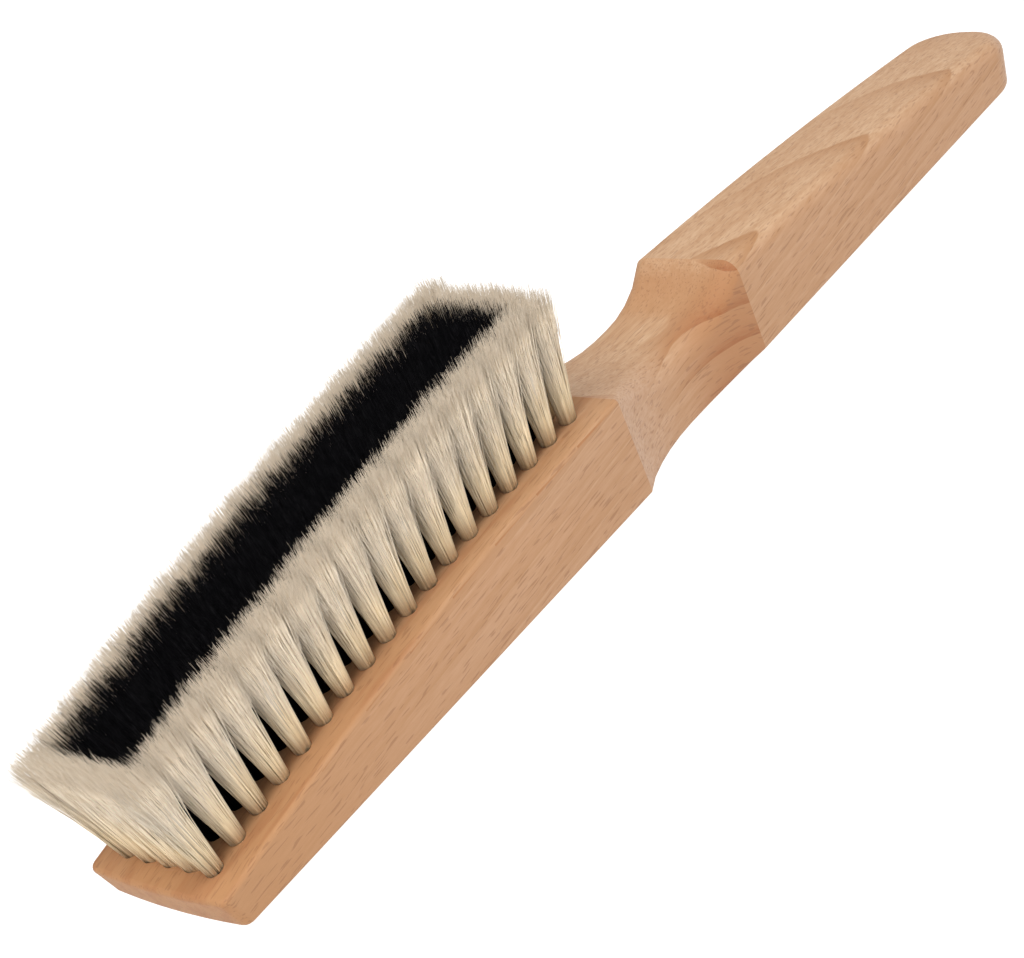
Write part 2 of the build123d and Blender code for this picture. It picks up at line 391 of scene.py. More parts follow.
def wood_masks(tree, place, facing, settings):
    """Where each look of the wood shows, from 0 to 1."""
    past_heel = settings.heel + 1 * MM
    past_shoulder = settings.shoulder + 0.02 * MM
    before_shoulder = settings.shoulder - 6 * MM

    # Along the brush: the block, the neck, and the scoop that deepens towards the shoulder
    beyond_heel = calc(tree, "GREATER_THAN", place["X"], past_heel)
    on_block = calc(tree, "SUBTRACT", 1.0, beyond_heel)
    on_neck = calc(tree, "LESS_THAN", place["X"], past_shoulder)
    scoop = fit(tree, place["X"], settings.neck_start, before_shoulder, smooth=True)
    scoop = calc(tree, "MULTIPLY", scoop, on_neck)
    on_neck = calc(tree, "MULTIPLY", on_neck, beyond_heel)

    # Across it, up it, and by the way that its surface faces
    right_edge = fit(tree, place["Y"], -9 * MM, -2 * MM, 1.0, 0.05)
    right_half = fit(tree, place["Y"], -7 * MM, 6 * MM, 1.0, 0.4)
    # Painted light: near the top of the scoop the warm and cut-across colours fade, standing in
    # for the light on a rounded shoulder edge
    below_shoulder = fit(tree, place["Z"], 18.3 * MM, 15.3 * MM, 0.3, 1.0, smooth=True)
    sideways = fit(tree, calc(tree, "ABSOLUTE", facing["Y"]), 0.5, 0.95)
    return {
        "warmth": fit(tree, facing["X"], 0.04, -0.13),
        "to nose": fit(tree, facing["X"], -0.12, -0.55),
        "to tip": fit(tree, facing["X"], 0.04, 0.45),
        "sideways": sideways,
        "scoop": calc(tree, "MULTIPLY", scoop, right_edge),
        "rings": mixed(tree, on_neck, right_half, right_edge),
        "below the lip": mixed(tree, beyond_heel, 1.0, below_shoulder),
        "nose end": fit(tree, place["X"], 10 * MM, -45 * MM),
        "bristle face": calc(tree, "MULTIPLY", on_block, calc(tree, "SUBTRACT", 1.0, sideways)),
    }


def beech(settings):
    """Sanded beech, redder where it is cut across the grain towards the nose."""
    material, tree, shader = new_material("beech")
    coordinates = add(tree, "ShaderNodeTexCoord").outputs
    place = split(tree, coordinates["Object"])
    point = grain_point(tree, place, settings)
    right_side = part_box(WOOD_NODE)[0].y
    rings_out = round(settings.ring_radius / settings.ring_spacing)
    pith_height = settings.ring_level + rings_out * settings.ring_spacing
    pith = (0.0, right_side + settings.pith_inset, pith_height)
    rings = placed(
        tree, growth_rings(), {"Point": point, "Spacing": settings.ring_spacing, "Pith": pith}
    )
    lengths = {"Fleck length": settings.fleck_length, "Fleck width": settings.fleck_width}
    grain = placed(tree, long_grain(), {"Point": point, **lengths})
    mask = wood_masks(tree, place, split(tree, coordinates["Normal"]), settings)

    def times(value, *amounts):
        for amount in amounts:
            value = calc(tree, "MULTIPLY", value, amount)
        return value

    def over(amount, rgb):
        """Lays a colour over the paint so far."""
        nonlocal paint
        paint = mixed_colour(tree, amount, paint, opaque(rgb))

    # Clouds, the warm faces, the pinker sides and the streaks
    paint = opaque(settings.pale)
    over(fit(tree, grain["Cloud"], 0.35, 0.65, 0.0, 0.3), settings.deep)
    # Faded near the top of the scoop, as painted light on the shoulder edge
    over(times(mask["warmth"], mask["below the lip"], 0.7), settings.warm)
    over(times(mask["sideways"], 0.7), settings.side)
    over(fit(tree, grain["Streak"], 0.4, 0.7, 0.0, 0.5), settings.deep)

    # Growth rings, and the redder wood where they are cut across
    fading = fit(tree, mask["nose end"], 0.0, 1.0, 1.0, 0.1)
    ringed = times(rings["Late wood"], fading, mask["rings"])
    over(times(ringed, fit(tree, mask["sideways"], 0.0, 1.0, 1.25, 0.5)), settings.deep)
    # Faded near the top of the scoop as well, as painted light on the shoulder edge
    to_nose = times(mask["to nose"], mask["below the lip"], 0.6)
    cut_across = calc(tree, "MAXIMUM", to_nose, times(mask["scoop"], 0.85))
    over(cut_across, settings.end_grain)
    over(times(ringed, cut_across, 1.7), settings.end_late)
    over(times(mask["to tip"], 0.75), settings.chalky)
    plain = calc(tree, "MAXIMUM", mask["scoop"], mask["nose end"])
    new_ring = fit(tree, plain, 0.0, 1.0, 0.2, 0.05)
    over(times(rings["New ring"], mask["rings"], new_ring), settings.pale)

    # The bristle face, and what is finest. The dark stripes on the bristle face are partly
    # grain, partly painted shade from the hair above it
    over(times(mask["nose end"], 0.75), settings.warm)
    stripe = fit(tree, grain["Stripe"], 0.48, 0.62)
    over(times(mask["bristle face"], stripe, 0.42), settings.end_late)
    over(fit(tree, grain["Fibre"], 0.35, 0.7, 0.0, 0.45), settings.deep)
    fleck_depth = fit(tree, mask["sideways"], 0.0, 1.0, 0.32, 0.35)
    over(times(grain["Fleck"], fleck_depth), settings.fleck)
    relief = calc(tree, "MULTIPLY_ADD", grain["Fleck"], -1.0, grain["Fibre"])
    bump = add(
        tree, "ShaderNodeBump", {"Strength": 0.2, "Distance": 0.05 * MM, "Height": relief}
    )
    tree.links.new(paint, shader.inputs["Base Color"])
    tree.links.new(bump.outputs[0], shader.inputs["Normal"])
    shader.inputs["Roughness"].default_value = settings.roughness
    shader.inputs["Specular IOR Level"].default_value = settings.gloss
    return material


def closed_lip(points, corners, level, side):
    """Where each corner goes once the neck's small step at X = level is closed: onto the
    nearest point of the full section, which has faces on that side of the step."""
    near, apart = 0.02 * MM, 0.1 * MM
    on_level = np.flatnonzero(abs(points[:, 0] - level) < near)
    beyond = (side * (points[corners.reshape(-1, 3), 0] - level) > apart).any(1)
    full = np.intersect1d(on_level, corners.reshape(-1, 3)[beyond])
    target = np.arange(len(points))
    for point in np.setdiff1d(on_level, full):
        gaps = np.linalg.norm(points[full] - points[point], axis=1)
        target[point] = full[gaps.argmin()]
    return target[corners]


def rounded_holes(points, settings):
    """Draws the flats' corners of each hole in to a round hole."""
    lowest, highest, widest = -1 * MM, 6 * MM, 2.3 * MM
    for row in WHITE_ROWS + BLACK_ROWS:
        for root, tip in tuft_lines(row):
            axis = (tip - root) / np.linalg.norm(tip - root)
            along = (points - root) @ axis
            spoke = points - root - along[:, None] * axis
            radius = np.linalg.norm(spoke, axis=1)
            wall = (along > lowest) & (along < highest) & (radius < widest)
            wall &= radius > settings.hole_radius
            drawn_in = settings.hole_radius / np.maximum(radius, MM) - 1
            points[wall] += (spoke * drawn_in[:, None])[wall]


def welded(name, source, settings):
    """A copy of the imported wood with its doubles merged, its lips closed and its holes
    round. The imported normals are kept, and evened out where they almost agree."""
    packed = np.zeros(len(source.vertices) * 3)
    source.vertices.foreach_get("co", packed)
    packed = packed.reshape(-1, 3)
    corners = np.zeros(len(source.loops), int)
    source.loops.foreach_get("vertex_index", corners)
    normals = np.array([corner.vector for corner in source.corner_normals])
    merge = 0.002 * MM
    _, first, joint = np.unique(
        np.round(packed / merge).astype(int), axis=0, return_index=True, return_inverse=True
    )
    points, corners = packed[first], joint.ravel()[corners]
    corners = closed_lip(points, corners, settings.heel, -1)
    corners = closed_lip(points, corners, settings.shoulder, 1)
    rounded_holes(points, settings)

    # Faces that the merging has closed up are dropped
    corners = corners.reshape(-1, 3)
    whole = (corners != np.roll(corners, 1, axis=1)).all(1)
    corners, normals = corners[whole], normals.reshape(-1, 3, 3)[whole].reshape(-1, 3)

    # Each corner takes the mean normal of the corners at its point that face almost its way
    flat = corners.ravel()
    order = np.argsort(flat, kind="stable")
    evened = normals.copy()
    for group in np.split(order, np.flatnonzero(np.diff(flat[order])) + 1):
        near = (normals[group] @ normals[group].T) > cos(settings.crease)
        evened[group] = near @ normals[group]
    evened /= np.linalg.norm(evened, axis=1)[:, None]

    used, corners = np.unique(corners, return_inverse=True)
    mesh = bpy.data.meshes.new(name)
    mesh.from_pydata(points[used].tolist(), [], corners.reshape(-1, 3).tolist())
    mesh.shade_smooth()
    mesh.normals_split_custom_set(evened.tolist())
    return mesh


class BRUSH_OT_beech_body(bpy.types.Operator):
    """Smooth the beech body, round its holes and give it its grain"""

    bl_idname = "brush.beech_body"
    bl_label = "Beech body"

    def execute(self, context):
        settings = context.scene.brush_beech
        mesh = welded("beech_body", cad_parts[WOOD_NODE].data, settings)
        mesh.materials.append(beech(settings))
        body = bpy.data.objects.new("beech_body", mesh)
        context.scene.collection.objects.link(body)
        finished(body, "beech", WOOD_NODE)
        return {"FINISHED"}


# ---------------------------------------------------------------- anchors


class BRUSH_OT_anchors(bpy.types.Operator):
    """Give the anchors in the holes their brass"""

    bl_idname = "brush.anchors"
    bl_label = "Anchors"

    def execute(self, context):
        settings = context.scene.brush_anchors
        material, tree, shader = new_material("anchor_brass")
        point = add(tree, "ShaderNodeTexCoord").outputs["Object"]
        wear = noise(tree, point, 900.0, 3.0)[0]
        paint = mixed_colour(tree, wear, opaque(settings.brass), opaque(settings.dull))
        tree.links.new(paint, shader.inputs["Base Color"])
        tree.links.new(fit(tree, wear, 0.3, 0.7, 0.28, 0.45), shader.inputs["Roughness"])
        shader.inputs["Metallic"].default_value = 1.0
        for row in WHITE_ROWS + BLACK_ROWS:
            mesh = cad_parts[row + "_anchors"].data
            mesh.materials.clear()
            mesh.materials.append(material)
        return {"FINISHED"}


# ---------------------------------------------------------------- hair

BLOCK_ENDS = (-HEEL, HEEL)

# How the rows of hair differ, in mm: half of a tuft's spread along and across the block at its
# trimmed end, how far that end is moved at the nose and at the heel, and half of the bundle's
# width across the block at the wood. The last number is painted shade: it darkens the hair
# that faces the next tuft, where shade falls between the tufts.
RowShape = namedtuple("RowShape", "along across at_nose at_heel mouth seam")
ROW_SHAPES = {
    "white_nose_row": RowShape(2.6, 3.6, (-0.6, 0.0, -0.1), (-0.6, 0.0, -0.1), 2.2, 0.0),
    "white_heel_row": RowShape(3.1, 3.7, (-0.6, 0.0, 0.4), (-0.6, 0.0, 0.4), 1.3, 0.35),
    "white_left_row": RowShape(3.9, 2.5, (0.2, 0.5, -0.4), (-0.2, 1.4, 0.5), 1.3, 0.3),
    "white_right_row": RowShape(3.8, 3.2, (0.0, 0.0, 0.0), (-1.2, 0.0, 0.0), 1.3, 0.45),
}
BLACK_SHAPE = RowShape(4.6, 4.0, (-0.5, 0.7, 0.4), (0.1, 1.1, 0.4), 1.3, 0.0)

# Where the fine ends begin along the hair, and how many times the fringe, the wave and the
# clumping of the full hairs they have
ENDS_FROM, ENDS_FRINGE, ENDS_WAVE, ENDS_CLUMPING = 0.55, 1.35, 1.5, 0.3

# Added to the hair's seed: for each further row, for the dark hair and for the fine ends
ROW_SEED, BLACK_SEED, ENDS_SEED = 20, 500, 1000

# Half of a bundle's width along and across the block, at the wood and at its trimmed end
SPANS = ("Mouth along", "Mouth across", "Tip along", "Tip across")

# How a bundle opens: share of its length, share of its spread
OPENING = ((0.12, 0.15), (0.35, 0.36), (0.65, 0.69))

HAIR_SIDES, HAIR_SEGMENTS = 3, 4
CORE_SIDES, CORE_SEGMENTS = 10, 6
CORE_TOP = 0.84  # share of the tuft's length that its core fills
CLUMP_REACH = 0.85  # how far out a clump may be, as a share of the bundle's half width
CLUMP_SIZE = 0.28  # as a share of the bundle's half width
CLUMP_LEVEL = 0.7  # how much the hairs of a clump share their unevenness
MEAN_LEVEL = 0.2  # taken off the level, so that few hairs pass the trimmed surface
LATE_START = 0.4  # how much farther along than the first hair the last one begins
WAVE_SCALE = 160.0  # noise cells in a metre
WAVE_REACH = 3.0  # times the wave
WILD_FROM, WILD_WAVE = 0.93, 3.2  # hairs past that share are up to that much wilder
THIN_FROM, THIN_END = 0.25, 0.3  # where a hair begins to thin, and how thin it ends


def tuft_lines(row):
    """The lowest and highest middle point of each tuft in a row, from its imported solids."""
    work = bmesh.new()
    work.from_mesh(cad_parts[row + "_tufts"].data)
    bmesh.ops.remove_doubles(work, verts=work.verts, dist=0.001 * MM)
    seen, lines = set(), []
    for start in work.verts:
        if start in seen:
            continue
        seen.add(start)
        island, reach = [], [start]
        while reach:
            vert = reach.pop()
            island.append(vert.co.copy())
            for edge in vert.link_edges:
                other = edge.other_vert(vert)
                if other not in seen:
                    seen.add(other)
                    reach.append(other)
        island = np.array(island)
        middle = (island[:, 2].min() + island[:, 2].max()) / 2
        low, high = island[island[:, 2] < middle], island[island[:, 2] > middle]
        lines.append((low.mean(0), high.mean(0)))
    work.free()
    return sorted(lines, key=lambda line: tuple(line[0].round(4)))


def end_slope():
    """How steeply the trimmed ends climb along X, fitted to the tufts of the longest row."""
    ends = np.array([tip for _, tip in tuft_lines(WHITE_ROWS[0])])
    return np.polyder(np.polyfit(ends[:, 0], ends[:, 2], 2))


def stored(tree, name, kind="FLOAT"):
    """The value of an attribute."""
    node = add(tree, "GeometryNodeInputNamedAttribute", {"Name": name}, data_type=kind)
    return node.outputs[0]


def keep(tree, geometry, name, value, kind="FLOAT"):
    """A geometry with a value stored on its points."""
    node = add(
        tree,
        "GeometryNodeStoreNamedAttribute",
        {"Geometry": geometry, "Name": name, "Value": value},
        data_type=kind,
        domain="POINT",
    )
    return node.outputs[0]


def chance(tree, seed, offset, low, high, identity=None):
    """A random number or vector for each point, from low to high."""
    vector = isinstance(low, tuple)
    first, kind = (0, "FLOAT_VECTOR") if vector else (2, "FLOAT")
    node = add(tree, "FunctionNodeRandomValue", {first: low, first + 1: high}, data_type=kind)
    if identity is not None:
        tree.links.new(identity, node.inputs["ID"])
    tree.links.new(calc(tree, "ADD", seed, float(offset)), node.inputs["Seed"])
    return node.outputs[0 if vector else 1]


def flow_group():
    """Where a point of a tuft goes, from its place in the bundle and along the hair."""
    tree, given, out = new_group(
        "Tuft flow",
        "GeometryNodeTree",
        [("Along", "NodeSocketFloat", 0.0), ("Spot", "NodeSocketVector", None)]
        + [(name, "NodeSocketFloat", 1 * MM) for name in SPANS],
        [("Position", "NodeSocketVector")],
    )
    curve = add(tree, "ShaderNodeFloatCurve", {1: given["Along"]})
    line = curve.mapping.curves[0]
    line.points[0].location = (0.0, 0.0)
    line.points[-1].location = (1.0, 1.0)
    for at in OPENING:
        line.points.new(*at)
    curve.mapping.update()
    spread = curve.outputs[0]

    # The bundle is round at the wood and square at its trimmed end
    def rounded(one, other):
        less = calc(tree, "MULTIPLY", calc(tree, "POWER", other, 2.0), -0.5)
        return calc(tree, "MULTIPLY", one, calc(tree, "SQRT", calc(tree, "ADD", less, 1.0)))

    spot = split(tree, given["Spot"])
    squared = fit(tree, given["Along"], 0.35, 1.0)
    half_along = mixed(tree, spread, given["Mouth along"], given["Tip along"])
    half_across = mixed(tree, spread, given["Mouth across"], given["Tip across"])
    place_x = mixed(tree, squared, rounded(spot[0], spot[1]), spot[0])
    place_y = mixed(tree, squared, rounded(spot[1], spot[0]), spot[1])
    shift_x = calc(tree, "MULTIPLY", place_x, half_along)
    shift_y = calc(tree, "MULTIPLY", place_y, half_across)
    rise = calc(tree, "MULTIPLY", shift_x, stored(tree, "slope"))
    shift = joined(tree, shift_x, shift_y, rise)
    reach = vector_calc(tree, "SCALE", stored(tree, "axis", "FLOAT_VECTOR"), given["Along"])
    middle = vector_calc(tree, "ADD", stored(tree, "mouth", "FLOAT_VECTOR"), reach)
    tree.links.new(vector_calc(tree, "ADD", middle, shift), out.inputs[0])
    return tree


def hair_points(tree, given):
    """One point for each hair, which keeps its own numbers."""
    copies = add(
        tree,
        "GeometryNodeDuplicateElements",
        {"Geometry": given["Tufts"], "Amount": given["Hairs"]},
        domain="POINT",
    )
    points, seed, clumps = copies.outputs[0], given["Seed"], given["Clumps"]
    own = chance(tree, seed, 11, (-1.0, -1.0, 0.0), (1.0, 1.0, 1.0))
    lot = calc(tree, "FLOOR", calc(tree, "MULTIPLY", chance(tree, seed, 12, 0.0, 1.0), clumps))
    number = calc(tree, "ADD", calc(tree, "MULTIPLY", stored(tree, "tuft"), clumps), lot)
    least, most = (-CLUMP_REACH, -CLUMP_REACH, 0.0), (CLUMP_REACH, CLUMP_REACH, 1.0)
    heart = chance(tree, seed, 13, least, most, number)
    stray = chance(tree, seed, 14, (-1.0, -1.0, -1.0), (1.0, 1.0, 1.0))
    points = keep(tree, points, "own", own, "FLOAT_VECTOR")
    points = keep(tree, points, "heart", heart, "FLOAT_VECTOR")
    points = keep(tree, points, "stray", stray, "FLOAT_VECTOR")
    # Painted shade: hairs at the sides of a tuft that face the next tuft are darkened, as the
    # shade between the tufts
    seam = fit(tree, calc(tree, "ABSOLUTE", split(tree, own)[0]), 0.5, 1.0, smooth=True)
    seam = calc(tree, "MULTIPLY", seam, given["Seam"])
    shade = calc(tree, "SUBTRACT", chance(tree, seed, 15, 0.6, 1.0), seam)
    points = keep(tree, points, "hair_tone_and_shade", shade)
    return keep(tree, points, "loose", chance(tree, seed, 16, 0.0, 1.0))


def rods_on(tree, points, sides, segments):
    """An upright rod on each point, which knows how far along it and round it each part is."""
    rod = add(
        tree,
        "GeometryNodeMeshCylinder",
        {"Vertices": sides, "Side Segments": segments, "Radius": 1.0, "Depth": 1.0},
        fill_type="NGON",
    ).outputs["Mesh"]
    place = add(tree, "GeometryNodeInputPosition").outputs[0]
    rod = keep(tree, rod, "hair_along", calc(tree, "ADD", split(tree, place)[2], 0.5))
    rim = vector_calc(tree, "MULTIPLY", place, (1.0, 1.0, 0.0))
    rod = keep(tree, rod, "rim", rim, "FLOAT_VECTOR")
    rods = add(tree, "GeometryNodeInstanceOnPoints", {"Points": points, "Instance": rod})
    return add(tree, "GeometryNodeRealizeInstances", {0: rods.outputs[0]}).outputs[0]


def moved(tree, geometry, place):
    """A geometry with its points put at a place."""
    node = add(tree, "GeometryNodeSetPosition", {"Geometry": geometry, "Position": place})
    return node.outputs[0]


def bundle_of_hairs(tree, given, flow, spans):
    """Thin tapered rods of three sides, gathered into clumps, wavy and unevenly long."""
    hairs = rods_on(tree, hair_points(tree, given), HAIR_SIDES, HAIR_SEGMENTS)
    along, loose = stored(tree, "hair_along"), stored(tree, "loose")
    own, heart = stored(tree, "own", "FLOAT_VECTOR"), stored(tree, "heart", "FLOAT_VECTOR")
    stray = stored(tree, "stray", "FLOAT_VECTOR")

    # How far up the tuft this part of the hair is
    length = vector_calc(tree, "LENGTH", stored(tree, "axis", "FLOAT_VECTOR"))
    shared = calc(tree, "MULTIPLY", split(tree, heart)[2], CLUMP_LEVEL)
    level = calc(tree, "ADD", split(tree, stray)[2], shared)
    uneven = calc(tree, "SUBTRACT", level, MEAN_LEVEL)
    uneven = calc(tree, "MULTIPLY", uneven, given["Fringe"])
    end = calc(tree, "ADD", calc(tree, "DIVIDE", uneven, length), 1.0)
    start = calc(tree, "MULTIPLY_ADD", loose, LATE_START, 1.0)
    start = calc(tree, "MULTIPLY", start, given["From"])
    reach = mixed(tree, along, start, end)

    # Its place in the bundle
    gathered = vector_calc(tree, "ADD", heart, vector_calc(tree, "SCALE", own, CLUMP_SIZE))
    pull = calc(tree, "MULTIPLY", fit(tree, reach, 0.1, 1.0, smooth=True), given["Clumping"])
    spot = mixed_vector(tree, pull, own, gathered)
    target = placed(tree, flow, {"Along": reach, "Spot": spot, **spans})[0]

    # Its waves, which grow towards the end, and its thickness
    drift_reach = calc(tree, "MULTIPLY", given["Wave"], WAVE_REACH)
    drift = wobble(tree, target, WAVE_SCALE, 1.0, drift_reach)
    wild = fit(tree, loose, WILD_FROM, 1.0, 1.0, WILD_WAVE)
    wild = calc(tree, "MULTIPLY", wild, given["Wave"])
    swing = vector_calc(tree, "ADD", drift, vector_calc(tree, "SCALE", stray, wild))
    swing = vector_calc(tree, "MULTIPLY", swing, (1.0, 1.0, 0.3))
    late = calc(tree, "POWER", fit(tree, reach, 0.0, 1.0), 2.0)
    swing = vector_calc(tree, "SCALE", swing, late)
    thick = fit(tree, along, THIN_FROM, 1.0, 1.0, THIN_END)
    thick = calc(tree, "MULTIPLY", given["Hair radius"], thick)
    ring = vector_calc(tree, "SCALE", stored(tree, "rim", "FLOAT_VECTOR"), thick)
    place = vector_calc(tree, "ADD", vector_calc(tree, "ADD", target, swing), ring)
    return keep(tree, moved(tree, hairs, place), "hair_along", reach)


def tuft_cores(tree, given, flow, spans):
    """A soft core in each tuft, so that no light comes through it, darkened as painted shade."""
    cores = rods_on(tree, given["Tufts"], CORE_SIDES, CORE_SEGMENTS)
    # Painted shade: the core takes the darkest tone, as the shade deep inside the tuft
    cores = keep(tree, cores, "hair_tone_and_shade", 0.0)
    along = stored(tree, "hair_along")
    reach = mixed(tree, along, given["From"], CORE_TOP)
    narrow = fit(tree, along, 0.8, 1.0, 0.72, 0.5)
    inner = vector_calc(tree, "SCALE", stored(tree, "rim", "FLOAT_VECTOR"), narrow)
    place = placed(tree, flow, {"Along": reach, "Spot": inner, **spans})[0]
    return moved(tree, cores, place)


def hair_group():
    """Fills each tuft's line with hairs round a softer core."""
    tree, given, out = new_group(
        "Hair tufts",
        "GeometryNodeTree",
        [("Tufts", "NodeSocketGeometry", None), ("Hairs", "NodeSocketInt", 400)]
        + [(name, "NodeSocketFloat", 1 * MM) for name in ("Hair radius", "Fringe", "Wave")]
        + [(name, "NodeSocketFloat", 1 * MM) for name in SPANS]
        + [
            ("From", "NodeSocketFloat", 0.0),
            ("Core", "NodeSocketBool", True),
            ("Seam", "NodeSocketFloat", 0.0),
            ("Clumps", "NodeSocketInt", 13),
            ("Clumping", "NodeSocketFloat", 0.36),
            ("Seed", "NodeSocketInt", 1),
            ("Material", "NodeSocketMaterial", None),
        ],
        [("Hair", "NodeSocketGeometry")],
    )
    flow, spans = flow_group(), {name: given[name] for name in SPANS}
    kept = add(
        tree,
        "GeometryNodeSwitch",
        {"Switch": given["Core"], "True": tuft_cores(tree, given, flow, spans)},
        input_type="GEOMETRY",
    )
    both = add(tree, "GeometryNodeJoinGeometry")
    tree.links.new(kept.outputs[0], both.inputs[0])
    tree.links.new(bundle_of_hairs(tree, given, flow, spans), both.inputs[0])
    smooth = add(tree, "GeometryNodeSetShadeSmooth", {"Geometry": both.outputs[0]})
    whole = add(tree, "GeometryNodeRealizeInstances", {0: smooth.outputs[0]})
    finish = {"Geometry": whole.outputs[0], "Material": given["Material"]}
    tree.links.new(add(tree, "GeometryNodeSetMaterial", finish).outputs[0], out.inputs[0])
    return tree


def tuft_points(row, slope, depth, shape):
    """A mesh with one point for each tuft: its mouth, and its line to the trimmed ends."""
    mouths, axes = [], []
    for root, tip in tuft_lines(row):
        mouth = root + (tip - root) / np.linalg.norm(tip - root) * depth
        to_heel = np.interp(mouth[0], BLOCK_ENDS, (0.0, 1.0))
        lean = np.array(shape.at_nose) * (1 - to_heel) + np.array(shape.at_heel) * to_heel
        mouths.append(mouth)
        axes.append(tip - mouth + lean * MM)
    mouths = np.array(mouths)
    mesh = bpy.data.meshes.new(row + "_lines")
    mesh.from_pydata(mouths.tolist(), [], [])
    for name, kind, field, values in (
        ("mouth", "FLOAT_VECTOR", "vector", mouths),
        ("axis", "FLOAT_VECTOR", "vector", np.array(axes)),
        ("slope", "FLOAT", "value", np.polyval(slope, mouths[:, 0])),
        ("tuft", "FLOAT", "value", np.arange(len(mouths))),
    ):
        attribute = mesh.attributes.new(name, kind, "POINT")
        attribute.data.foreach_set(field, values.astype(np.float32).ravel())
    return mesh


def grow(context, rows, material, seed, fine=False):
    """Grows the hair of some rows, or the fine ends of it, one piece a row."""
    settings = context.scene.brush_hair
    tree = bpy.data.node_groups.get("Hair tufts") or hair_group()
    sockets = {
        item.name: item.identifier for item in tree.interface.items_tree if item.in_out == "INPUT"
    }
    slope = end_slope()
    for offset, row in enumerate(rows):
        shape = ROW_SHAPES.get(row, BLACK_SHAPE)
        lines = tuft_points(row, slope, settings.hole_depth, shape)
        points = bpy.data.objects.new(lines.name, lines)
        context.scene.collection.objects.link(points)
        growth = points.modifiers.new("hair", "NODES")
        growth.node_group = tree
        values = {
            "Hairs": settings.hairs,
            "Hair radius": settings.hair_radius,
            "Mouth along": settings.mouth_radius,
            "Mouth across": shape.mouth * MM,
            "Tip along": shape.along * MM,
            "Tip across": shape.across * MM,
            # Painted shade on the hair that faces the next tuft
            "Seam": shape.seam,
            "Fringe": settings.fringe,
            "Wave": settings.wave,
            "From": -settings.buried,
            "Core": not fine,
            "Clumps": settings.clumps,
            "Clumping": settings.clumping,
            "Seed": seed + ROW_SEED * offset,
            "Material": material,
        }
        if fine:
            values["Hairs"] = settings.ends
            values["Hair radius"] = settings.end_radius
            values["From"] = ENDS_FROM
            values["Fringe"] *= ENDS_FRINGE
            values["Wave"] *= ENDS_WAVE
            values["Clumping"] *= ENDS_CLUMPING
        for name, value in values.items():
            growth[sockets[name]] = value
        context.view_layer.update()
        grown = points.evaluated_get(context.evaluated_depsgraph_get())
        mesh = bpy.data.meshes.new_from_object(grown)
        mesh.name = row + ("_ends" if fine else "_hair")
        bpy.data.objects.remove(points)
        hair = bpy.data.objects.new(mesh.name, mesh)
        context.scene.collection.objects.link(hair)
        slot = "white_hair" if row in WHITE_ROWS else "black_hair"
        finished(hair, slot, row + "_tufts")


def hair_material(name, roughness, gloss):
    """A material for hair, how far along its hair a point is, and its tone and painted shade."""
    material, tree, shader = new_material(name)
    shader.inputs["Roughness"].default_value = roughness
    shader.inputs["Specular IOR Level"].default_value = gloss
    along, shade = (
        add(tree, "ShaderNodeAttribute", attribute_name=attribute).outputs["Fac"]
        for attribute in ("hair_along", "hair_tone_and_shade")
    )
    return material, tree, shader, along, shade


class BRUSH_OT_white_hair(bpy.types.Operator):
    """Grow the pale tufts round the edge of the block"""

    bl_idname = "brush.white_hair"
    bl_label = "Pale tufts"

    def execute(self, context):
        settings = context.scene.brush_hair
        material, tree, shader, along, shade = hair_material(
            "white_hair", settings.pale_roughness, settings.pale_gloss
        )
        # Towards the wood the hair takes the root colour: partly its own warmer colour, partly
        # painted shade near the wood
        up = fit(tree, along, 0.05, 0.68, smooth=True)
        paint = mixed_colour(tree, up, opaque(settings.pale_root_and_shade), opaque(settings.pale_hair))
        at_end = fit(tree, along, 0.82, 1.0, smooth=True)
        paint = mixed_colour(tree, at_end, paint, opaque(settings.pale_tip))
        # Random tone from hair to hair, darker as painted shade between the tufts and on the cores
        tone = fit(tree, shade, 0.0, 1.0, 0.7, 1.12)
        tint = add(tree, "ShaderNodeCombineColor", {0: tone, 1: tone, 2: tone}).outputs[0]
        paint = mixed_colour(tree, 1.0, paint, tint, "MULTIPLY")
        tree.links.new(paint, shader.inputs["Base Color"])
        grow(context, WHITE_ROWS, material, settings.seed)
        grow(context, WHITE_ROWS, material, settings.seed + ENDS_SEED, fine=True)
        return {"FINISHED"}


class BRUSH_OT_black_hair(bpy.types.Operator):
    """Grow the dark tufts down the middle of the block"""

    bl_idname = "brush.black_hair"
    bl_label = "Dark tufts"

    def execute(self, context):
        settings = context.scene.brush_hair
        material, tree, shader, along, shade = hair_material(
            "black_hair", settings.dark_roughness, settings.dark_gloss
        )
        glint = opaque(settings.dark_glint)
        shining = fit(tree, shade, 0.9, 1.0)
        paint = mixed_colour(tree, shining, opaque(settings.dark_hair), glint)
        paint = mixed_colour(tree, fit(tree, along, 0.6, 1.0, 0.0, 0.04), paint, glint)
        tree.links.new(paint, shader.inputs["Base Color"])
        grow(context, BLACK_ROWS, material, settings.seed + BLACK_SEED)
        return {"FINISHED"}


# ---------------------------------------------------------------- stage

WHITE = (1.0, 1.0, 1.0, 1.0)

# Round lamps: name, azimuth and elevation in degrees from the camera's aim, power in watts
LAMPS = (("key", -158, 55, 5.8), ("handle", -50, 58, 2.9))
LAMP_WIDTH, LAMP_DISTANCE = 0.6, 0.9

# The camera: its sensor in millimetres, and the nearest thing that it sees
SENSOR_WIDTH = 36.0
NEAREST_VIEW = 10 * MM


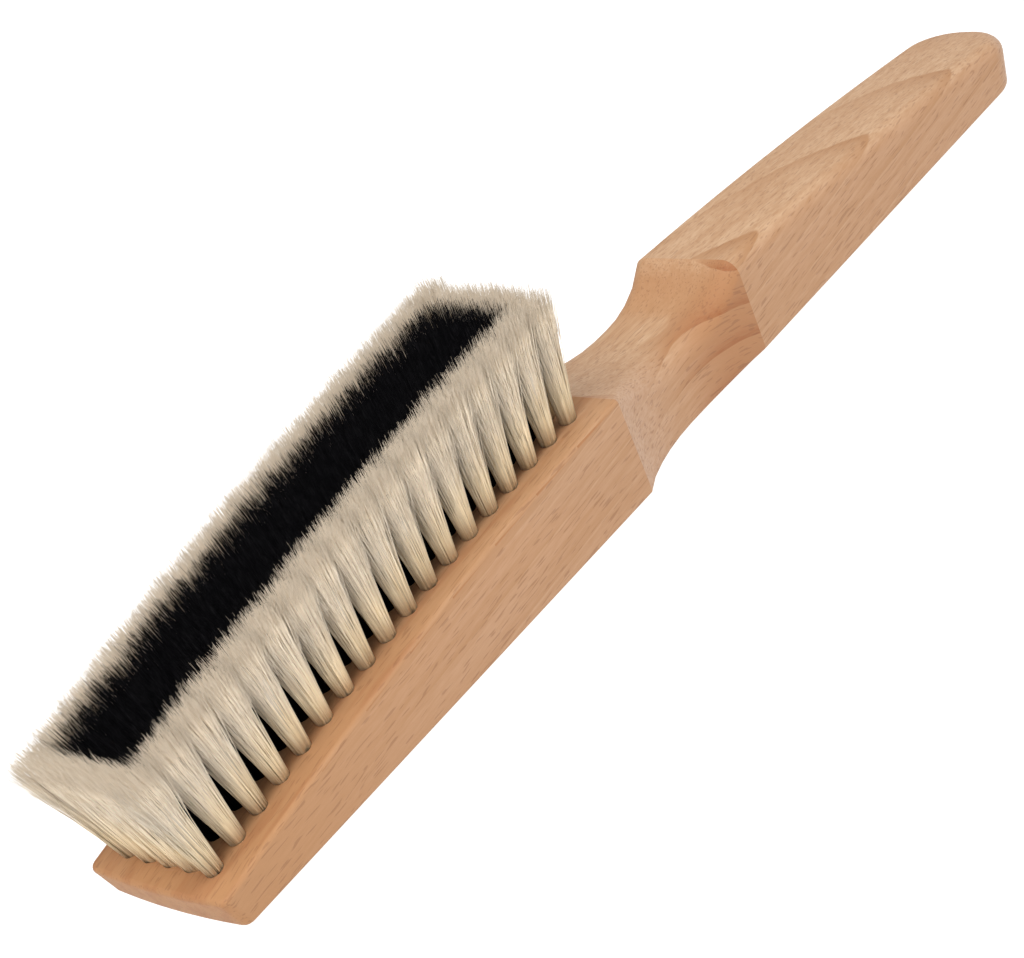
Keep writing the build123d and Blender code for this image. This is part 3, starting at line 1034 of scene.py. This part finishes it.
def look_from(target, azimuth, elevation, distance, roll=0.0):
    """A camera's or lamp's place: it looks at target from that side."""
    away = Vector(
        (cos(elevation) * cos(azimuth), cos(elevation) * sin(azimuth), sin(elevation))
    )
    turn = away.to_track_quat("Z", "Y").to_matrix().to_4x4()
    return (
        Matrix.Translation(Vector(target) + away * distance) @ turn @ Matrix.Rotation(roll, 4, "Z")
    )


def set_floor(scene, settings):
    """A plain pale floor just under the flat back."""
    half = settings.floor_size / 2
    mesh = bpy.data.meshes.new("floor")
    corners = [(-half, -half, 0), (half, -half, 0), (half, half, 0), (-half, half, 0)]
    mesh.from_pydata(corners, [], [(0, 1, 2, 3)])
    material, _, shader = new_material("floor")
    for name, value in (
        ("Base Color", opaque(settings.floor)),
        ("Roughness", 0.9),
        ("Specular IOR Level", 0.0),
        ("Emission Color", WHITE),
        ("Emission Strength", settings.floor_glow),
    ):
        shader.inputs[name].default_value = value
    mesh.materials.append(material)
    floor = bpy.data.objects.new("floor", mesh)
    floor.location.z = -settings.floor_drop
    scene.collection.objects.link(floor)


def set_lights(scene, settings):
    """Soft light from all round, and the lamps."""
    world = bpy.data.worlds.new("soft_light")
    world.use_nodes = True
    sky = world.node_tree.nodes["Background"]
    sky.inputs["Color"].default_value = WHITE
    sky.inputs["Strength"].default_value = settings.sky
    scene.world = world
    for name, azimuth, elevation, power in LAMPS:
        lamp = bpy.data.lights.new(name, "AREA")
        lamp.shape, lamp.size, lamp.energy = "DISK", LAMP_WIDTH, power
        holder = bpy.data.objects.new(name, lamp)
        holder.matrix_world = look_from(
            settings.aim, radians(azimuth), radians(elevation), LAMP_DISTANCE
        )
        scene.collection.objects.link(holder)


def set_camera(scene, settings):
    """The camera, at the side the brush is seen from."""
    lens = bpy.data.cameras.new("camera")
    lens.lens = settings.lens
    lens.sensor_width = SENSOR_WIDTH
    lens.clip_start = NEAREST_VIEW
    camera = bpy.data.objects.new("camera", lens)
    camera.matrix_world = look_from(
        settings.aim, settings.azimuth, settings.elevation, settings.distance, settings.roll
    )
    scene.collection.objects.link(camera)
    scene.camera = camera
    scene.view_settings.view_transform = "Standard"


class BRUSH_OT_stage(bpy.types.Operator):
    """Set the floor, the lamps and the camera"""

    bl_idname = "brush.stage"
    bl_label = "Stage"

    def execute(self, context):
        for part in (set_floor, set_lights, set_camera):
            part(context.scene, context.scene.brush_stage)
        return {"FINISHED"}


# ---------------------------------------------------------------- add-on

OPERATORS = (
    BRUSH_OT_beech_body,
    BRUSH_OT_anchors,
    BRUSH_OT_white_hair,
    BRUSH_OT_black_hair,
    BRUSH_OT_stage,
)


class BRUSH_PT_sidebar(bpy.types.Panel):
    """Lists the pieces of the brush"""

    bl_idname = "BRUSH_PT_sidebar"
    bl_label = "Neck duster brush"
    bl_space_type = "VIEW_3D"
    bl_region_type = "UI"
    bl_category = "Brush"

    def draw(self, context):
        for operator in OPERATORS:
            self.layout.operator(operator.bl_idname)


SETTINGS = {
    "brush_beech": BeechSettings,
    "brush_anchors": AnchorSettings,
    "brush_hair": HairSettings,
    "brush_stage": StageSettings,
}


def register():
    for kind in (*SETTINGS.values(), *OPERATORS, BRUSH_PT_sidebar):
        bpy.utils.register_class(kind)
    for name, kind in SETTINGS.items():
        setattr(bpy.types.Scene, name, bpy.props.PointerProperty(type=kind))


def unregister():
    for name in SETTINGS:
        delattr(bpy.types.Scene, name)
    for kind in (BRUSH_PT_sidebar, *reversed(OPERATORS), *SETTINGS.values()):
        bpy.utils.unregister_class(kind)


def main():
    register()
    bpy.ops.brush.beech_body()
    bpy.ops.brush.anchors()
    bpy.ops.brush.white_hair()
    bpy.ops.brush.black_hair()
    bpy.ops.brush.stage()


if __name__ == "__main__":
    main()
